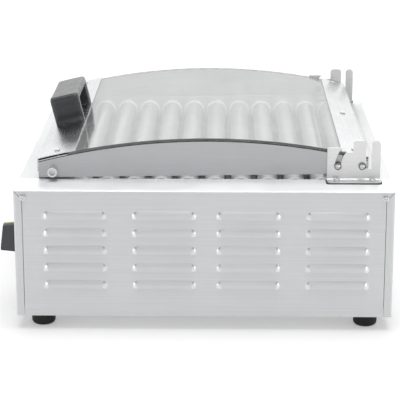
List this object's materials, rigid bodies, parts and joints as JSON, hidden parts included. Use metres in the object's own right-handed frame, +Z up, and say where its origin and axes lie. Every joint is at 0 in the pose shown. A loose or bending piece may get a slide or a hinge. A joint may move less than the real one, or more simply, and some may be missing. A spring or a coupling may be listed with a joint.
{
  "type": "hot dog roller grill",
  "caption": "Counter-top roller grill in brushed steel with driven heated rollers, louvred sides, drip tray and a hinged arched glass lid.",
  "frame": {"origin": "bottom centre of the whole machine, on the floor under its feet", "axes": "+Z up, -Y toward the front with the controls, +X to the right side"},
  "size_m": [0.545, 0.484, 0.2385],
  "materials": {
    "casing_steel": "satin brushed",
    "roller_steel": "polished",
    "strip_steel": "bright",
    "chain_steel": "oiled",
    "heater_sheath": "heat-stained",
    "foot_rubber": "matte",
    "seal_rubber": "matte",
    "bush_white": "waxy",
    "motor_paint": "satin",
    "control_dark": "matte",
    "lamp_lens": "clear amber",
    "block_ivory": "matte",
    "lid_glass": "clear",
    "handle_grey": "fine grain",
    "knob_grey": "fine grain"
  },
  "bodies": {
    "casing": {"base_pan": "casing_steel", "front_panel": "casing_steel", "rear_panel": "casing_steel", "side_panel_right": "casing_steel", "side_panel_left": "casing_steel", "end_wall_right": "casing_steel", "end_wall_left": "casing_steel", "tray_rails": "casing_steel", "feet": "foot_rubber", "foot_screws": "casing_steel", "corner_screws": "casing_steel", "bushes_right": "bush_white", "bushes_left": "bush_white", "heater_rods": "heater_sheath", "heater_plate_right": "casing_steel", "heater_plate_left": "casing_steel", "gear_motor": "motor_paint", "drive_chain": "chain_steel", "thermostat_right": "control_dark", "thermostat_left": "control_dark", "thermostat_nuts": "casing_steel", "indicator_lamps": "lamp_lens", "switch_housing": "control_dark", "terminal_block": "block_ivory", "cable_gland": "control_dark", "gland_nut": "control_dark", "hinge_bracket_right": "strip_steel", "hinge_bracket_left": "strip_steel", "bracket_screws": "casing_steel"},
    "lid": {"lid_panel_right": "casing_steel", "lid_panel_left": "casing_steel", "lid_glass": "lid_glass", "lid_front_strip": "strip_steel", "lid_rear_strip": "strip_steel", "lid_seals": "seal_rubber", "lid_handle": "handle_grey", "handle_screws": "casing_steel", "strip_rivets": "casing_steel", "pivot_pins": "strip_steel", "guide_pins": "strip_steel", "lid_pegs": "strip_steel"},
    "tray": {"drip_tray": "casing_steel"},
    "right_knob": {"knob_right": "knob_grey"},
    "left_knob": {"knob_left": "knob_grey"},
    "rocker": {"switch_rocker": "control_dark"},
    "motor_drive": {"motor_sprocket": "chain_steel"},
    "roller_01_body": {"roller_01": "roller_steel"},
    "roller_02_body": {"roller_02": "roller_steel"},
    "roller_03_body": {"roller_03": "roller_steel"},
    "roller_04_body": {"roller_04": "roller_steel"},
    "roller_05_body": {"roller_05": "roller_steel"},
    "roller_06_body": {"roller_06": "roller_steel"},
    "roller_07_body": {"roller_07": "roller_steel"},
    "roller_08_body": {"roller_08": "roller_steel"},
    "roller_09_body": {"roller_09": "roller_steel"},
    "roller_10_body": {"roller_10": "roller_steel"},
    "roller_11_body": {"roller_11": "roller_steel"}
  },
  "joints": [
    {"name": "lid_hinge", "type": "hinge", "parent": "casing", "child": "lid", "pos_m": [0, 0.192, 0.187], "axis": [-1, 0, 0], "range_deg": [0, 60]},
    {"name": "tray_slide", "type": "slide", "parent": "casing", "child": "tray", "axis": [0, -1, 0], "range_m": [0, 0.3]},
    {"name": "right_knob_turn", "type": "hinge", "parent": "casing", "child": "right_knob", "pos_m": [0.175, -0.213, 0.085], "axis": [0, 1, 0], "range_deg": [0, 270]},
    {"name": "left_knob_turn", "type": "hinge", "parent": "casing", "child": "left_knob", "pos_m": [-0.175, -0.213, 0.085], "axis": [0, 1, 0], "range_deg": [0, 270]},
    {"name": "rocker_tilt", "type": "hinge", "parent": "casing", "child": "rocker", "pos_m": [0, -0.211, 0.085], "axis": [-1, 0, 0], "range_deg": [0, 20]},
    {"name": "roller_01_spin", "type": "hinge", "parent": "casing", "child": "roller_01_body", "pos_m": [0, -0.14, 0.1555], "axis": [1, 0, 0], "continuous": true, "deforming": ["drive_chain"]},
    {"name": "roller_02_spin", "type": "hinge", "parent": "casing", "child": "roller_02_body", "pos_m": [0, -0.10825, 0.1555], "axis": [1, 0, 0], "continuous": true},
    {"name": "roller_03_spin", "type": "hinge", "parent": "casing", "child": "roller_03_body", "pos_m": [0, -0.0765, 0.1555], "axis": [1, 0, 0], "continuous": true},
    {"name": "roller_04_spin", "type": "hinge", "parent": "casing", "child": "roller_04_body", "pos_m": [0, -0.04475, 0.1555], "axis": [1, 0, 0], "continuous": true},
    {"name": "roller_05_spin", "type": "hinge", "parent": "casing", "child": "roller_05_body", "pos_m": [0, -0.013, 0.1555], "axis": [1, 0, 0], "continuous": true},
    {"name": "roller_06_spin", "type": "hinge", "parent": "casing", "child": "roller_06_body", "pos_m": [0, 0.01875, 0.1555], "axis": [1, 0, 0], "continuous": true},
    {"name": "roller_07_spin", "type": "hinge", "parent": "casing", "child": "roller_07_body", "pos_m": [0, 0.0505, 0.1555], "axis": [1, 0, 0], "continuous": true},
    {"name": "roller_08_spin", "type": "hinge", "parent": "casing", "child": "roller_08_body", "pos_m": [0, 0.08225, 0.1555], "axis": [1, 0, 0], "continuous": true},
    {"name": "roller_09_spin", "type": "hinge", "parent": "casing", "child": "roller_09_body", "pos_m": [0, 0.114, 0.1555], "axis": [1, 0, 0], "continuous": true},
    {"name": "roller_10_spin", "type": "hinge", "parent": "casing", "child": "roller_10_body", "pos_m": [0, 0.14575, 0.1555], "axis": [1, 0, 0], "continuous": true},
    {"name": "roller_11_spin", "type": "hinge", "parent": "casing", "child": "roller_11_body", "pos_m": [0, 0.1775, 0.1555], "axis": [1, 0, 0], "continuous": true},
    {"name": "motor_spin", "type": "hinge", "parent": "casing", "child": "motor_drive", "pos_m": [0, 0.01875, 0.07543], "axis": [1, 0, 0], "continuous": true}
  ],
  "couplings": [
    {"joint": "roller_02_spin", "follows": "roller_01_spin", "ratio": 1},
    {"joint": "roller_03_spin", "follows": "roller_01_spin", "ratio": 1},
    {"joint": "roller_04_spin", "follows": "roller_01_spin", "ratio": 1},
    {"joint": "roller_05_spin", "follows": "roller_01_spin", "ratio": 1},
    {"joint": "roller_06_spin", "follows": "roller_01_spin", "ratio": 1},
    {"joint": "roller_07_spin", "follows": "roller_01_spin", "ratio": 1},
    {"joint": "roller_08_spin", "follows": "roller_01_spin", "ratio": 1},
    {"joint": "roller_09_spin", "follows": "roller_01_spin", "ratio": 1},
    {"joint": "roller_10_spin", "follows": "roller_01_spin", "ratio": 1},
    {"joint": "roller_11_spin", "follows": "roller_01_spin", "ratio": 1},
    {"joint": "motor_spin", "follows": "roller_01_spin", "ratio": 1}
  ]
}
